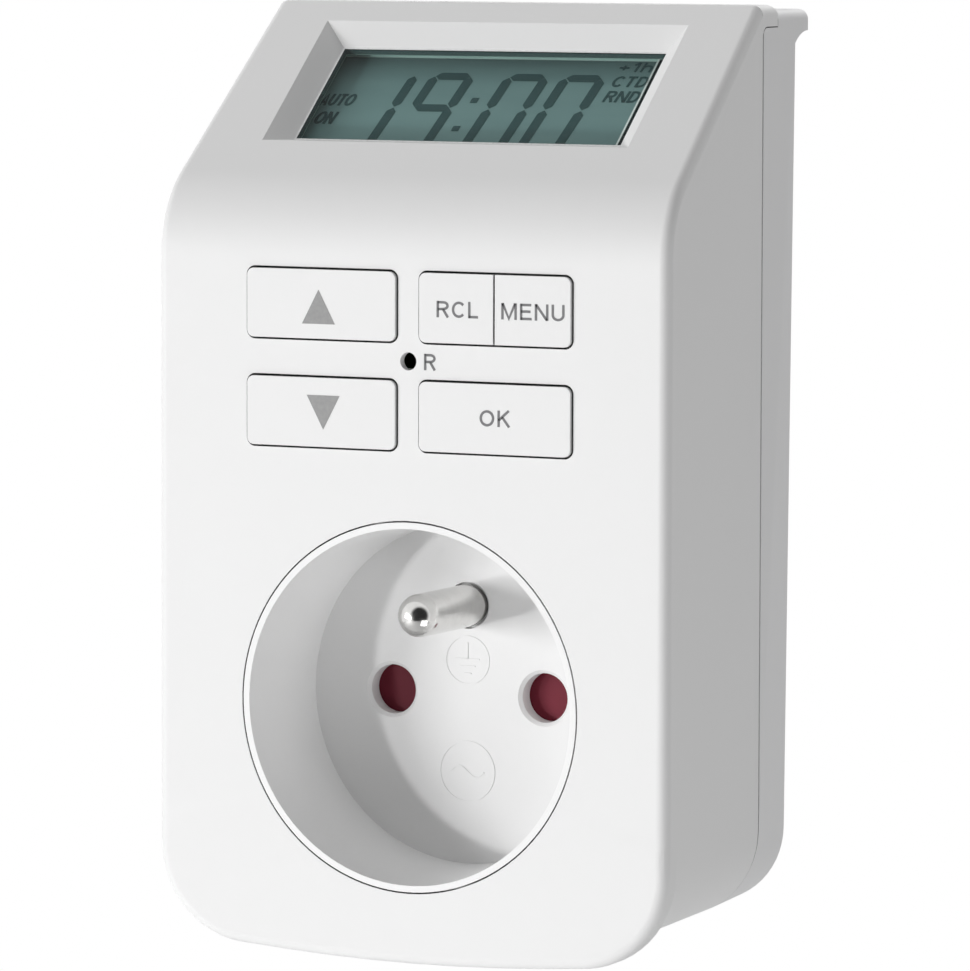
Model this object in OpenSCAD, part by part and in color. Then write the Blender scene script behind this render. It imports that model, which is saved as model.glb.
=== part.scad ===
// Plug-in timer switch: a slant-topped housing with a digital display, five keys and a reset
// pinhole, a socket outlet with a shutter and an earth pin in front, and a plug behind.
// Origin: centre of the plug's mating face. +Y points into the wall, +Z up, the keys face -Y.

/* [Body] */
// Width of the front face
body_w = 63; // [62:0.5:68]
// Height of the top edge above the socket axis
top_h = 77.4; // [76:0.2:80]
// Distance from the socket axis down to the underside, at the front face
base_h = 26.7; // [26:0.1:29]
// Upward lean of the underside towards the back, in degrees
base_lean = 3; // [1:0.1:4]
// Depth of the front shell
front_d = 27.1; // [26.5:0.1:30]
// Depth of the rear shell
rear_d = 9.5; // [9:0.1:11]
// Inward lean of each side, in degrees
side_lean = 2.3; // [1:0.1:3]
// Radius of the two lower corners at the front face
corner_r = 13.1; // [10:0.1:14]
// Radius of the two lower corners at the back
corner_r_back = 9.1; // [8:0.1:11]
// How far each lower corner draws in towards the back
corner_pinch = 0.45; // [0:0.05:1]
// How much deeper the rear edge is at the top than at the bottom
rear_rake = 0.85; // [0:0.05:2]
// Rounding of the front edges
edge_r = 1.2; // [0.8:0.1:1.6]
// Rounding of the rear edges
back_r = 0.5; // [0.3:0.1:1]
// Thickness of side, bottom and back walls
wall = 2.2; // [1.8:0.1:2.4]
// Thickness of the front wall
front_t = 2.4; // [2:0.1:2.6]

/* [Front rim] */
// Depth of the rim that hangs below the body
rim_d = 2.9; // [2:0.1:4]
// How far the rim hangs below the body at its corners
rim_drop = 1.1; // [0.6:0.1:2]
// Radius of the rim's lower corners
rim_r = 11; // [9:0.5:13]
// Extra bulge of the rim at the middle of its lower edge
rim_bulge = 0.9; // [0.4:0.1:1.2]

/* [Display] */
// Height where the display face would meet the front face
slant_h = 55.2; // [54.6:0.2:56]
// Depth of the edge between the display face and the top
top_edge_d = 26.93; // [26:0.01:27]
// Radius that blends the front face into the display face
blend_r = 12; // [8:0.5:14]
// Thickness of the wall of the display face
slant_t = 3; // [2.8:0.1:3.4]
// Distance from the display recess to each side of the housing
window_side = 8.85; // [8.75:0.05:10.5]
// Distance along the slope from the bend to the recess
window_s = 10.8; // [10:0.1:11.2]
// Distance along the slope from the recess to the top edge
window_top = 3.5; // [3:0.1:6]
// Width of the recess's bevel
bevel_w = 2.4; // [2:0.1:2.8]
// Depth of the recess
bevel_d = 2; // [1.5:0.1:2.2]
// Thickness of the clear window
lens_t = 1; // [0.8:0.1:1.2]
// Air gap between the clear window and the display glass
lens_gap = 0.2; // [0.1:0.05:0.3]
// Thickness of the display glass
lcd_t = 2.2; // [1.8:0.1:2.4]

/* [Socket] */
// Radius of the hole in the front face that shows the socket insert
ring_r = 20.75; // [20.5:0.05:21]
// Radius of the well at its mouth
well_r = 19.85; // [19.6:0.05:20]
// Radius of the well at its floor
well_floor_r = 19.25; // [18.8:0.05:19.5]
// Depth of the well
well_d = 14.9; // [14.5:0.1:15.2]
// Thickness of the well's floor
floor_t = 2.2; // [2:0.1:2.4]
// Distance between the two pin holes, and between the plug's pins
pin_pitch = 19; // [19:0.1:19.2]
// Diameter of the pin holes
hole_d = 5.6; // [5.4:0.1:5.8]
// Height of the earth pin above the line of the holes
earth_up = 10; // [10:0.1:10.2]
// Diameter of the earth pin
earth_d = 4.8; // [4.7:0.05:4.9]
// Length of the earth pin in the well
earth_l = 14.4; // [14:0.1:14.6]
// Gap around the earth pin where it leaves the floor
earth_gap = 0.25; // [0.1:0.05:0.4]
// Depth of that gap
earth_gap_d = 0.8; // [0.4:0.1:1.2]
// Thickness of the shutter
shutter_t = 1.6; // [1.4:0.1:1.8]
// How far the shutter slides down to open both holes
shutter_travel = 6.5; // [6.4:0.1:6.8]

/* [Keys] */
// Width of a key opening
key_w = 18.9; // [18:0.1:19.2]
// Height of a key opening
key_h = 8.16; // [7.6:0.01:8.4]
// Gap between the left and right openings
key_col_gap = 2.5; // [2.3:0.1:3]
// Distance between the two rows of keys
key_pitch = 12; // [11.8:0.1:12.4]
// Height of the lower row above the socket axis
key_low_h = 32.4; // [32:0.1:32.8]
// How far the keys stand proud of the front face
key_proud = 0.35; // [0.2:0.05:1]
// Clearance around a key in its opening
key_gap = 0.24; // [0.15:0.01:0.3]
// Radius of a key's outer corners
key_r = 0.8; // [0.6:0.1:1]
// Gap between the two keys of the split pair
key_split = 0.22; // [0.15:0.01:0.4]
// How far a key can be pressed
key_travel = 0.4; // [0.3:0.05:0.5]
// Width of the first key of the split pair
recall_w = 9.4; // [8.9:0.1:9.6]
// Diameter of the reset pinhole
reset_d = 2; // [1.8:0.1:2.2]
// Thickness of the front wall around the pinhole
reset_t = 1; // [0.8:0.1:1.4]

/* [Plug] */
// Diameter of the plug body
plug_d = 36.8; // [36.4:0.1:37.4]
// Length of the plug body behind the housing
plug_l = 15.7; // [15.5:0.1:16.5]
// Diameter of the plug pins
pin_d = 4.8; // [4.75:0.05:4.9]
// Length of the plug pins
pin_l = 19; // [18.5:0.1:19.5]

/* [Seam and lips] */
// How far the front shell's lip reaches back over the rear shell
lip_l = 4.5; // [3:0.1:5]
// Thickness of the front shell's lip
lip_t = 2.4; // [2:0.1:2.6]
// How far the rear shell's lip reaches back past the housing
grip_l = 4.7; // [2:0.1:5]
// Thickness of the rear shell's lip at its root
grip_root_t = 2.9; // [2.4:0.1:3.2]
// Thickness of the rear shell's lip at its end
grip_end_t = 2.4; // [1.6:0.1:2.6]
// Step down from the front shell's lip to the rear shell's lip
lip_step = 0.6; // [0.4:0.1:0.8]
// Gap that shows between the shells
seam_gap = 0.35; // [0.1:0.05:0.4]
// Clearance between the two lips
lip_gap = 0.12; // [0.1:0.01:0.3]
// Length of the hollow below the rear shell's lip
cove_l = 3.9; // [1.5:0.1:4.2]
// Height of the hollow below the rear shell's lip
cove_h = 1.4; // [0.6:0.1:1.8]

/* [Hidden] */
$fn = 64;
eps = 0.01;
fit = 0.05;          // clearance of a fixed pin or screw in its hole
play = 0.12;         // clearance of a sliding plate on each side
hidden_pin_r = 2.1;  // radius of a pin's stretch inside the plastic

// Depths, from the plug's mating face towards the front
back_y = -plug_l;                    // back face of the housing
seam_y = back_y - rear_d;            // parting plane of the shells
front_y = seam_y - front_d;          // front face
back_in_y = back_y - wall;           // inside of the back wall
front_in_y = front_y + front_t;      // inside of the front wall
rear_y0 = seam_y + seam_gap;         // edge of the rear shell
low_gap = 0.06;                      // what is left of the seam's gap at the lower corners
fade_z = [-21, -13];                 // heights between which the seam's gap closes

// Widths and heights of the outer form
lean = tan(side_lean);
function half_w(y) = body_w / 2 - (y - front_y) * lean;
function base_z(y) = -base_h + (y - front_y) * tan(base_lean);
function corner_at(y) = corner_r + (corner_r_back - corner_r) * (y - front_y) / (back_y - front_y);
rim_z = -base_h - rim_drop + rim_r;  // centres of the rim's corners
rim_step = 0.03;                     // how far the rim stands out at the sides
rim_top = slant_h - 11.2;            // where the rim runs out into the sides
rear_top = top_h - lip_step;
lip_z0 = top_h - lip_t;
lip_fillet_r = 1.3;
grip_r = 1;                          // rounding of the rear lip's upper edge
base_t = 1.3;                        // wall of the underside at the back
cavity_half = half_w(back_y) - wall;
cavity_bottom = base_z(back_y) + base_t;
cavity_r = corner_r_back - 0.3;
cavity_top = top_h - lip_t - lip_gap - wall;
front_cavity_top = top_h - lip_t - 0.4;

// Socket stack
floor_y = front_y + well_d;                      // front of the well's floor
slot_y = floor_y + floor_t;                      // back of the floor
block_y0 = slot_y + shutter_t + 2 * play;        // bottom of the shutter's slot
block_y1 = back_in_y - 1.8;                      // back of the contact block
insert_r = ring_r - 0.18;
flange_r = ring_r + 1.9;
flange_y = front_in_y + 1.4;                     // back of the insert's flange
sleeve_r = insert_r + 0.6;                       // insert behind its flange
skirt_l = 4;
block_r = sleeve_r - 1.2;
hole_x = pin_pitch / 2;
shutter_half_h = hole_d / 2 + 0.8;
shutter_half_w = hole_x + hole_d / 2 + 0.8;
spring_r = 1.1;
spring_wire = 0.36;
spring_y = slot_y + play + spring_r + spring_wire / 2;
spring_deep = spring_y + spring_r + spring_wire / 2 + play;
spring_l = 11.5;
spring_z0 = -shutter_half_h - spring_l;
spring_turns = 7;
earth_r = earth_d / 2;
sleeve_in_r = pin_d / 2 + fit;
sleeve_out_r = sleeve_in_r + 0.65;
sleeve_flange_r = sleeve_out_r + 0.7;
bar_t = 0.8;
bar_y1 = block_y1 + bar_t;
block_screw_at = [[-10.5, -13.3], [10.5, -13.3], [-11, 12.2], [11, 12.2]];
rib_at = [[-14.6, -9.2], [14.6, -9.2], [-14.6, 9.2], [14.6, 9.2]];

// Plug
plug_r = plug_d / 2;
cup_r = plug_r - 3;
plug_floor = 3;
carrier_y0 = -13.9;
carrier_screw_at = [[-5, -9.5], [5, -9.5]];
carrier_seat_y = -7;
pin_r = pin_d / 2;
pin_flange_t = 1;
dimple_d = 0.3;                      // depth of the dimple around each plug pin
tail_y0 = carrier_y0 - pin_flange_t - bar_t;
leg_x = cup_r - 0.8 - bar_t;         // legs of the busbars, inside the plug body
clip_z0 = cup_r + 0.4;
clip_t = 1.2;
clip_w = 6;

// Keys and switches
flange_t = 1;
flange_w = 0.9;
key_rest = 0.1;
nub_l = 0.4;
plunger_out = 0.8;
plunger_in = 0.8;
plunger_r = 1.6;
switch_h = 3.5;
switch_w = 6;
key_back_y = front_in_y + key_rest + flange_t;
nub_y = key_back_y + nub_l;
switch_y = nub_y + plunger_out;
ctrl_y = switch_y + switch_h;
key_x0 = key_col_gap / 2;
key_x1 = key_x0 + key_w;
key_x = (key_x0 + key_x1) / 2;
key_high_h = key_low_h + key_pitch;
key_mid_h = (key_low_h + key_high_h) / 2;
split_x = key_x0 + recall_w;
recall_x = (key_x0 + split_x) / 2;
menu_x = (split_x + key_x1) / 2;
switch_at = [[-key_x, key_high_h], [-key_x, key_low_h], [recall_x, key_high_h],
    [menu_x, key_high_h], [key_x, key_low_h]];

// Boards
ctrl_t = 1.2;
ctrl_back_y = ctrl_y + ctrl_t;
ctrl_z0 = key_low_h - 8.4;
ctrl_z1 = slant_h - 2.8;
board_half = cavity_half - 1.6;
ctrl_post_at = [for (s = [-1, 1], z = [ctrl_z0 + 2.4, ctrl_z1 - 2.4]) [s * (board_half - 2.2), z]];
power_t = 1.6;
power_y = block_y1 - power_t;
power_z0 = block_r + 0.9;
power_z1 = slant_h + 5.8;
power_post_at = [for (s = [-1, 1], z = [power_z0 + 4.9, power_z1 - 3]) [s * (board_half - 3.2), z]];

// Parts on the boards
busbar_top = power_z0 + 2.2;         // where the busbars end on the power board
relay_size = [19, 14.6, 15.5];
relay_x = -board_half + 5.2;
relay_z = 27.5;
parts_x = relay_x + relay_size[0] + 3;   // left edge of what stands beside the relay
film_size = [18, 13, 6];
film_z = 29.2;
can_r = 4;
can_l = 12;
diode_r = 1.35;
diode_l = 5.2;
diode_z = 37.4;
diode_pitch = 3.1;
can_at = [parts_x + 3 * diode_pitch + diode_r + can_r + 0.75, diode_z + 5.6];
varistor_r = 4.5;
varistor_t = 3.6;
varistor_at = [can_at[0] - can_r + 0.1, can_at[1] + can_r + varistor_r + 2];
resistor_r = 2.2;
resistor_l = 9;
resistor_at = [relay_x + relay_size[0] + 0.6, relay_z + relay_size[2] + 6.5];
ribbon_w = 11;
ribbon_t = 0.8;
ribbon_at = [relay_x, ctrl_z1 - 2.8];
chip_size = [11, 1.4, 11];
chip_at = [-15, 31];
crystal_size = [8, 3, 3.2];
crystal_at = [-2, 43.6];
cell_r = 6;
cell_t = 4.8;
cell_at = [board_half - 11.2, 38];

// Display, in the frame of the slanted face: x, distance up the slope, height above the face
slant_a = atan2(top_h - slant_h, top_edge_d);
slant_l = norm([top_h - slant_h, top_edge_d]);
window_w = body_w - 2 * window_side;
window_h = slant_l - window_s - window_top;
open_w = window_w - 2 * bevel_w;
open_h = window_h - 2 * bevel_w;
open_s = window_s + bevel_w;
open_mid = open_s + open_h / 2;
lens_over = 1;
lcd_top = -slant_t - lens_t;
lcd_back = lcd_top - lcd_t;
frame_back = lcd_back - 1.4;
flex_w = 16;
frame_w = open_w + 2 * lens_over + 2.2;
frame_h = open_h + 2 * lens_over + 2.2;
ear_s = open_mid - frame_h / 2 - 2.1;
ear_x = frame_w / 2 - 8.4;
ear_t = 2;
ear_half = 2;
ear_top = -slant_t - 0.8;            // seat of the display frame's ears

// Screws
screw_r = 1.25;
screw_head_r = 2.4;
boss_r = 2.9;
low_screw = [cavity_half - 4.3, cavity_bottom + 5];
high_screw = [cavity_half - 2.2, slant_h + 10.8];
housing_screw_at = [for (s = [-1, 1], p = [low_screw, high_screw]) [s * p[0], p[1]]];
screw_seat_y = back_y - 3.2;
small_r = 0.9;
small_head_r = 1.8;
small_head_t = 1.1;

// ---------------------------------------------------------------- helpers

// Extrudes a drawing of x and z from depth y0 to depth y1.
module along_y(y0, y1) {
    translate([0, y1, 0]) rotate([90, 0, 0]) linear_extrude(y1 - y0) children();
}

// Extrudes a drawing of y and z from x0 to x1.
module along_x(x0, x1) {
    translate([x0, 0, 0]) rotate([90, 0, 90]) linear_extrude(x1 - x0) children();
}

// Cylinder along Y, centred on x and z.
module rod(x, z, y0, y1, r) {
    translate([x, y1, z]) rotate([90, 0, 0]) cylinder(h = y1 - y0, r = r);
}

// Box from one corner to the other.
module block(a, b) {
    translate(a) cube(b - a);
}

module rounded_rect(w, h, r) {
    square([w - 2 * r, h], center = true);
    square([w, h - 2 * r], center = true);
    for (x = [-1, 1], z = [-1, 1])
        translate([x * (w / 2 - r), z * (h / 2 - r)]) circle(r);
}

// Rounded plate along Y, centred on x and z.
module plate(x, z, w, h, r, y0, y1) {
    along_y(y0, y1) translate([x, z]) rounded_rect(w, h, r);
}

// Frame of the display face.
module on_slant() {
    translate([0, front_y, slant_h]) rotate([slant_a, 0, 0]) children();
}

// Plate in the frame of the display face, between two heights.
module slant_plate(w, h, h0, h1) {
    on_slant() block([-w / 2, open_mid - h / 2, h0], [w / 2, open_mid + h / 2, h1]);
}

// Screw along Y: its head starts at seat_y and its point is at tip_y.
module screw(x, z, seat_y, tip_y, r, head_r, head_t) {
    top_y = seat_y + sign(seat_y - tip_y) * head_t;
    rod(x, z, min(seat_y, tip_y), max(seat_y, tip_y), r);
    difference() {
        rod(x, z, min(seat_y, top_y), max(seat_y, top_y), head_r);
        translate([x, top_y, z]) {
            cube([head_r * 1.1, head_t, 0.5], center = true);
            cube([0.5, head_t, head_r * 1.1], center = true);
        }
    }
}

// ---------------------------------------------------------------- housing

// One corner of a shell: a ring of radius r with an edge rounded by e, and a plain disc to y_plain.
module corner_disc(x, z, y_edge, y_plain, r, e) {
    translate([x, y_edge, z]) rotate([90, 0, 0])
        rotate_extrude($fn = 56) translate([r - e, 0]) circle(e, $fn = 24);
    rod(x, z, min(y_edge, y_plain), max(y_edge, y_plain), r, $fn = 56);
}

// Rounded edge along one end of the blend between the front face and the display face.
module blend_edge(s) {
    y = front_y + blend_r;
    z = slant_h - blend_r * tan((90 - slant_a) / 2);
    translate([s * (half_w(y) - edge_r), y, z]) rotate([0, 0, s * side_lean]) rotate([90, 0, -90])
        rotate_extrude(angle = 90 - slant_a, $fn = 180) translate([blend_r - edge_r, 0])
            circle(edge_r, $fn = 24);
}

// Ball centre where the display face meets the top.
top_ball_z = top_h - edge_r;
top_ball_y = front_y + (top_ball_z - slant_h + edge_r / cos(slant_a)) / tan(slant_a);

module front_outer() {
    y_edge = front_y + edge_r;
    r0 = corner_at(y_edge);
    r1 = corner_at(seam_y);
    difference() {
        hull() {
            for (s = [-1, 1]) {
                corner_disc(s * (body_w / 2 - r0), base_z(y_edge) + r0, y_edge, y_edge + 0.1, r0, edge_r);
                rod(s * (half_w(seam_y) - r1), base_z(seam_y) + r1, seam_y - 0.1, seam_y, r1, $fn = 56);
                blend_edge(s);
                translate([s * (half_w(seam_y) - edge_r), top_ball_y, top_ball_z])
                    sphere(edge_r, $fn = 24);
            }
        }
        block([-body_w, seam_y, -body_w], [body_w, seam_y + 10, 2 * body_w]);
    }
}

// Rim around the front face; it runs out into the sides above and bulges at its lower edge.
module front_rim() {
    y0 = front_y + edge_r;
    y1 = front_y + rim_d;
    hull() {
        for (s = [-1, 1]) {
            corner_disc(s * (half_w(y0) + rim_step - rim_r), rim_z, y0, y0 + 0.1, rim_r, edge_r);
            rod(s * (half_w(y1) + rim_step - rim_r), rim_z, y1 - 0.4, y1, rim_r, $fn = 56);
            translate([s * (half_w(y0) - rim_step - edge_r), y0, rim_top]) sphere(edge_r, $fn = 24);
            rod(s * (half_w(y1) - rim_step - edge_r), rim_top, y1 - 0.4, y1, edge_r, $fn = 24);
        }
        for (i = [-3:3]) {
            x = i / 4 * (body_w / 2 - rim_r);
            drop = rim_bulge * (1 - i * i / 16);
            translate([x, 0, rim_z - rim_r - drop + edge_r]) {
                translate([0, y0, 0]) sphere(edge_r, $fn = 24);
                rod(0, 0, y0, y1, edge_r, $fn = 24);
            }
        }
    }
}

// Side view of the hollow fillet below the front shell's lip; g grows it.
module lip_fillet(y0, g) {
    f = lip_fillet_r;
    difference() {
        translate([y0, lip_z0 - f]) square([seam_y + f - y0, f + eps - g]);
        translate([seam_y + f, lip_z0 - f]) circle(f - g);
    }
}

// Side view of the front shell's lip.
module front_lip_profile() {
    y0 = seam_y - 0.05;
    y1 = seam_y + lip_l;
    translate([y0, lip_z0]) square([y1 - edge_r - y0, lip_t]);
    translate([y0, lip_z0]) square([y1 - y0, lip_t - edge_r]);
    translate([y1 - edge_r, top_h - edge_r]) circle(edge_r);
    lip_fillet(y0, 0);
}

// Side view of the rear shell's lip, with a hollow where it leaves the back.
module rear_lip_profile() {
    y0 = seam_y + lip_l + lip_gap;
    y1 = back_y + grip_l;
    y_foot = back_y + rear_rake - back_r + 0.03;
    z_end = rear_top - grip_end_t;
    cove_r = (pow(cove_l, 2) + pow(cove_h, 2)) / (2 * cove_h);
    translate([y0, rear_top - grip_root_t]) square([back_y - y0, grip_root_t]);
    translate([back_y - 1, z_end]) square([y1 - grip_r - back_y + 1, grip_end_t]);
    translate([back_y, z_end]) square([y1 - back_y, grip_end_t - grip_r]);
    translate([y1 - grip_r, rear_top - grip_r]) circle(grip_r);
    difference() {
        translate([y_foot - 1, z_end - cove_h]) square([cove_l + 1, cove_h + eps]);
        translate([y_foot + cove_l, z_end - cove_r]) circle(cove_r);
    }
}

// Half space inside one side of the body, with the rounded upper corner of a lip that ends at z1.
module lip_side(s, z1) {
    h = 2 * (lip_t + lip_fillet_r + grip_root_t);
    translate([s * half_w(seam_y), seam_y, 0]) rotate([0, 0, s * side_lean])
        along_y(-2, rear_d + grip_l + 2) translate([-s * body_w, z1 - h / 2])
            rounded_rect(2 * body_w, h, edge_r);
}

// Lip across the whole width, from its side view.
module lip(z1) {
    intersection() {
        along_x(-body_w / 2, body_w / 2) children();
        lip_side(-1, z1);
        lip_side(1, z1);
    }
}

// Inside of the shells in x and z, shrunk by g.
module cavity_outline(top, g) {
    h = cavity_half - g;
    b = cavity_bottom + g;
    r = cavity_r - g;
    for (s = [-1, 1]) translate([s * (h - r), b + r]) circle(r);
    translate([-h, b + r]) square([2 * h, top - b - r]);
    translate([-h + r, b]) square([2 * (h - r), r + eps]);
}

module front_cavity() {
    intersection() {
        along_y(front_in_y, seam_y + 1) cavity_outline(front_cavity_top, 0);
        on_slant() block([-body_w, -100, -100], [body_w, 100, -slant_t]);
    }
}

// Display recess with bevelled sides, and the opening at its bottom.
module display_recess() {
    over = 1 + 1 / bevel_d;
    k = bevel_w * over;
    on_slant() {
        intersection() {
            translate([0, 100, -bevel_d]) rotate([90, 0, 0]) linear_extrude(200)
                polygon([[-open_w / 2, 0], [open_w / 2, 0], [open_w / 2 + k, bevel_d + 1],
                    [-open_w / 2 - k, bevel_d + 1]]);
            translate([-100, 0, -bevel_d]) rotate([90, 0, 90]) linear_extrude(200)
                polygon([[open_s, 0], [open_s + open_h, 0], [open_s + open_h + k, bevel_d + 1],
                    [open_s - k, bevel_d + 1]]);
        }
        block([-open_w / 2, open_s, -slant_t - 1], [open_w / 2, open_s + open_h, eps]);
    }
}

module front_shell() {
    color("white") difference() {
        union() {
            difference() {
                union() {
                    front_outer();
                    front_rim();
                    lip(top_h) front_lip_profile();
                }
                front_cavity();
                display_recess();
                rod(0, 0, front_y - 1, front_in_y + 1, ring_r);
                for (s = [-1, 1], z = [key_low_h, key_high_h])
                    plate(s * key_x, z, key_w, key_h, key_r + key_gap, front_y - 1, front_in_y + 1);
                rod(0, key_mid_h, front_y - 1, front_in_y + 1, reset_d / 2);
                rod(0, key_mid_h, front_y + reset_t, front_in_y + 1, reset_d / 2 + 1.2);
            }
            // bosses for the housing screws
            intersection() {
                for (p = housing_screw_at)
                    rod(p[0], p[1], p[1] < 0 ? front_in_y - 0.5 : front_y + 8, seam_y, boss_r);
                on_slant() block([-body_w, -100, -100], [body_w, 100, -1.5]);
            }
            // posts for the control board
            for (p = ctrl_post_at) rod(p[0], p[1], front_in_y - 0.5, ctrl_y, 2);
            // bosses for the display frame
            for (s = [-1, 1])
                on_slant() translate([s * ear_x, ear_s, ear_top]) cylinder(h = 1, r = 1.7);
        }
        for (p = housing_screw_at) rod(p[0], p[1], seam_y - 8.5, seam_y + 1, screw_r + fit);
        for (p = ctrl_post_at) rod(p[0], p[1], front_in_y + 0.5, ctrl_y + 1, small_r + fit);
        for (s = [-1, 1])
            on_slant() translate([s * ear_x, ear_s, -slant_t - 1.5]) cylinder(h = 3, r = small_r + fit);
    }
}

module rear_outer() {
    y_low = back_y - back_r;
    y_high = y_low + rear_rake;
    y_seam = seam_y + low_gap;
    r0 = corner_at(y_seam);
    difference() {
        hull() for (s = [-1, 1]) {
            corner_disc(s * (half_w(back_y) - corner_pinch - corner_r_back), base_z(back_y) + corner_r_back,
                y_low, y_low - 0.1, corner_r_back, back_r);
            rod(s * (half_w(y_seam) - r0), base_z(y_seam) + r0, y_seam, y_seam + 0.1, r0, $fn = 56);
            rod(s * (half_w(y_seam) - edge_r), rear_top - edge_r, y_seam, y_seam + 0.1, edge_r,
                $fn = 24);
            corner_disc(s * (half_w(y_high) - edge_r), rear_top - edge_r, y_high, y_high - 0.1, edge_r,
                back_r);
        }
        along_x(-body_w, body_w)
            polygon([[seam_y, fade_z[0]], [rear_y0, fade_z[1]], [rear_y0, top_h], [seam_y, top_h]]);
    }
}

module rear_shell() {
    color("gainsboro") difference() {
        union() {
            difference() {
                union() {
                    rear_outer();
                    lip(rear_top) rear_lip_profile();
                    // plug body
                    translate([0, back_y - wall, 0]) rotate([-90, 0, 0])
                        cylinder(h = plug_l + wall - 0.8, r = plug_r);
                    translate([0, -0.8, 0]) rotate([-90, 0, 0])
                        cylinder(h = 0.8, r1 = plug_r, r2 = plug_r - 0.8);
                }
                // room for the front shell's lip
                along_x(-body_w, body_w) {
                    translate([seam_y - 1, lip_z0 - lip_gap]) square([lip_l + lip_gap + 1, lip_t + 2]);
                    lip_fillet(seam_y - 1, lip_gap);
                }
                along_y(seam_y - 1, back_in_y) cavity_outline(cavity_top, 0);
                rod(0, 0, back_in_y - 1, -plug_floor, cup_r);
                for (s = [-1, 1]) {
                    rod(s * hole_x, 0, -plug_floor - 1, 1, hidden_pin_r + fit);
                    rod(s * hole_x, 0, -dimple_d, 1, pin_r + 0.6);
                }
                rod(0, earth_up, -plug_floor - 1, 1, hole_d / 2);
                // side channels of the earth clips
                for (s = [0, 1]) mirror([0, 0, s])
                    block([-clip_w / 2 - 0.5, back_in_y - 1, cup_r - 1], [clip_w / 2 + 0.5, 1, plug_r + 1]);
            }
            // tongue that keeps the shells in line
            difference() {
                along_y(seam_y - 1.2, rear_y0 + 0.8) difference() {
                    cavity_outline(cavity_top, 0.12);
                    cavity_outline(cavity_top + 9, 1.2);
                }
                for (p = housing_screw_at) rod(p[0], p[1], seam_y - 2, seam_y, boss_r + 0.2);
            }
            for (p = housing_screw_at) rod(p[0], p[1], seam_y, back_in_y + 0.5, boss_r + 0.6);
            for (p = rib_at) rod(p[0], p[1], block_y1, back_in_y + 0.5, 1.5);
            for (p = power_post_at) rod(p[0], p[1], block_y1, back_in_y + 0.5, 2.2);
        }
        for (p = housing_screw_at) {
            rod(p[0], p[1], seam_y - 1, back_y + 1, screw_r + 0.15);
            rod(p[0], p[1], screw_seat_y, back_y + rear_rake + 1, screw_head_r + 0.2);
        }
        for (p = power_post_at) rod(p[0], p[1], block_y1 - 1, block_y1 + 3, small_r + fit);
        for (p = carrier_screw_at) rod(p[0], p[1], -plug_floor - 1, -1, small_r + fit);
    }
}

module housing_screws() {
    color("silver") for (p = housing_screw_at)
        screw(p[0], p[1], screw_seat_y, seam_y - 8, screw_r, screw_head_r, 1.8);
}

// ---------------------------------------------------------------- socket

// Wall of the well: a tapered ring that the front wall's hole clips around.
module socket_insert() {
    color("whitesmoke") difference() {
        union() {
            rod(0, 0, front_y, flange_y, insert_r);
            rod(0, 0, front_in_y, flange_y, flange_r);
            rod(0, 0, front_in_y, slot_y + skirt_l, sleeve_r);
        }
        translate([0, front_y - 0.5, 0]) rotate([-90, 0, 0])
            cylinder(h = well_d + 0.5 + eps, r1 = well_r + 0.02, r2 = well_floor_r);
        rod(0, 0, floor_y, slot_y + skirt_l + 1, block_r + fit);
    }
}

// Floor of the well, with the pin holes.
module socket_floor() {
    color("whitesmoke") difference() {
        rod(0, 0, floor_y, slot_y, block_r);
        for (s = [-1, 1]) {
            rod(s * hole_x, 0, floor_y - 1, slot_y + 1, hole_d / 2);
            translate([s * hole_x, floor_y - eps, 0]) rotate([-90, 0, 0])
                cylinder(h = 0.4, r1 = hole_d / 2 + 0.4, r2 = hole_d / 2);
        }
        rod(0, earth_up, floor_y - 1, slot_y + 1, hidden_pin_r + fit);
        rod(0, earth_up, floor_y - 1, floor_y + earth_gap_d, earth_r + earth_gap);
        for (p = block_screw_at) rod(p[0], p[1], slot_y - 1.6, slot_y + 1, small_r + fit);
    }
}

module contact_block() {
    color("dimgray") difference() {
        rod(0, 0, slot_y, block_y1, block_r);
        // slot of the shutter, and the deeper groove of its spring
        block([-shutter_half_w - play, slot_y - 1, -shutter_half_h - shutter_travel - 0.3],
            [shutter_half_w + play, block_y0, shutter_half_h + play]);
        block([-spring_r - 0.5, slot_y - 1, spring_z0], [spring_r + 0.5, spring_deep, -1.2]);
        for (s = [-1, 1]) {
            rod(s * hole_x, 0, slot_y - 1, block_y1 + 1, sleeve_out_r + fit);
            rod(s * hole_x, 0, block_y1 - 0.8, block_y1 + 1, sleeve_flange_r + fit);
        }
        rod(0, earth_up, slot_y - 1, block_y1 + 1, hidden_pin_r + fit);
        rod(0, earth_up, block_y1 - 1.2, block_y1 + 1, earth_r + 1.1);
        for (p = block_screw_at) {
            rod(p[0], p[1], slot_y - 1, block_y1 + 1, small_r + 0.1);
            rod(p[0], p[1], block_y1 - 1.5, block_y1 + 1, small_head_r + 0.15);
        }
    }
}

module contact_block_screws() {
    color("silver") for (p = block_screw_at)
        screw(p[0], p[1], block_y1 - 1.5, slot_y - 1.5, small_r, small_head_r, small_head_t);
}

module shutter() {
    y0 = slot_y + play;
    color("firebrick") {
        block([-shutter_half_w, y0, -shutter_half_h], [shutter_half_w, y0 + shutter_t, shutter_half_h]);
        block([-spring_r, y0, -shutter_half_h], [spring_r, spring_deep - play, -shutter_half_h + 1.4]);
    }
}

// Half turn of the coil, from one side to the other, rising by rise.
module half_turn(side, rise) {
    rotate([0, -side * atan(rise / (2 * spring_r)), 0])
        rotate([0, 0, side > 0 ? 0 : 180])
            rotate_extrude(angle = 180, $fn = 32) translate([spring_r, 0]) circle(spring_wire / 2, $fn = 16);
}

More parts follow.
